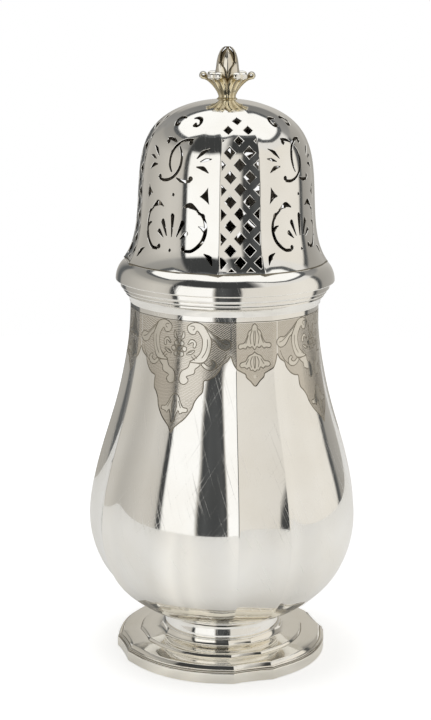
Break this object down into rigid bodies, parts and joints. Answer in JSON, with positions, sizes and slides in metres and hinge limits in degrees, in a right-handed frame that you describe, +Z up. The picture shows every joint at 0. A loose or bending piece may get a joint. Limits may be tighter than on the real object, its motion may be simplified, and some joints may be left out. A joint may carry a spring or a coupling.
{
  "type": "sugar caster",
  "caption": "Silver sugar caster with a panelled baluster body on a stepped foot and a lift-off domed cover, pierced with lattice and scrolls and topped by a bud finial.",
  "frame": {"origin": "middle of the foot's rim at the level of the table", "axes": "+Z up along the caster's axis; the body's narrow panels face +X, -X, +Y and -Y"},
  "size_m": [0.089, 0.089, 0.2091],
  "materials": {
    "silver": "polished silver with fine wear",
    "finial_silver": "cast silver with a warm tarnish"
  },
  "bodies": {
    "caster": {"foot_rim": "silver", "foot_dish": "silver", "foot_collar": "silver", "body_shell": "silver", "neck_ring": "silver"},
    "cover": {"cover_sleeve": "silver", "cover_rim": "silver", "cover_dome": "silver", "finial_calyx": "finial_silver", "finial_bud": "finial_silver", "finial_stud": "silver", "finial_nut": "silver"}
  },
  "joints": [
    {"name": "cover_lift", "type": "slide", "parent": "caster", "child": "cover", "axis": [0, 0, 1], "range_m": [0, 0.06]}
  ]
}
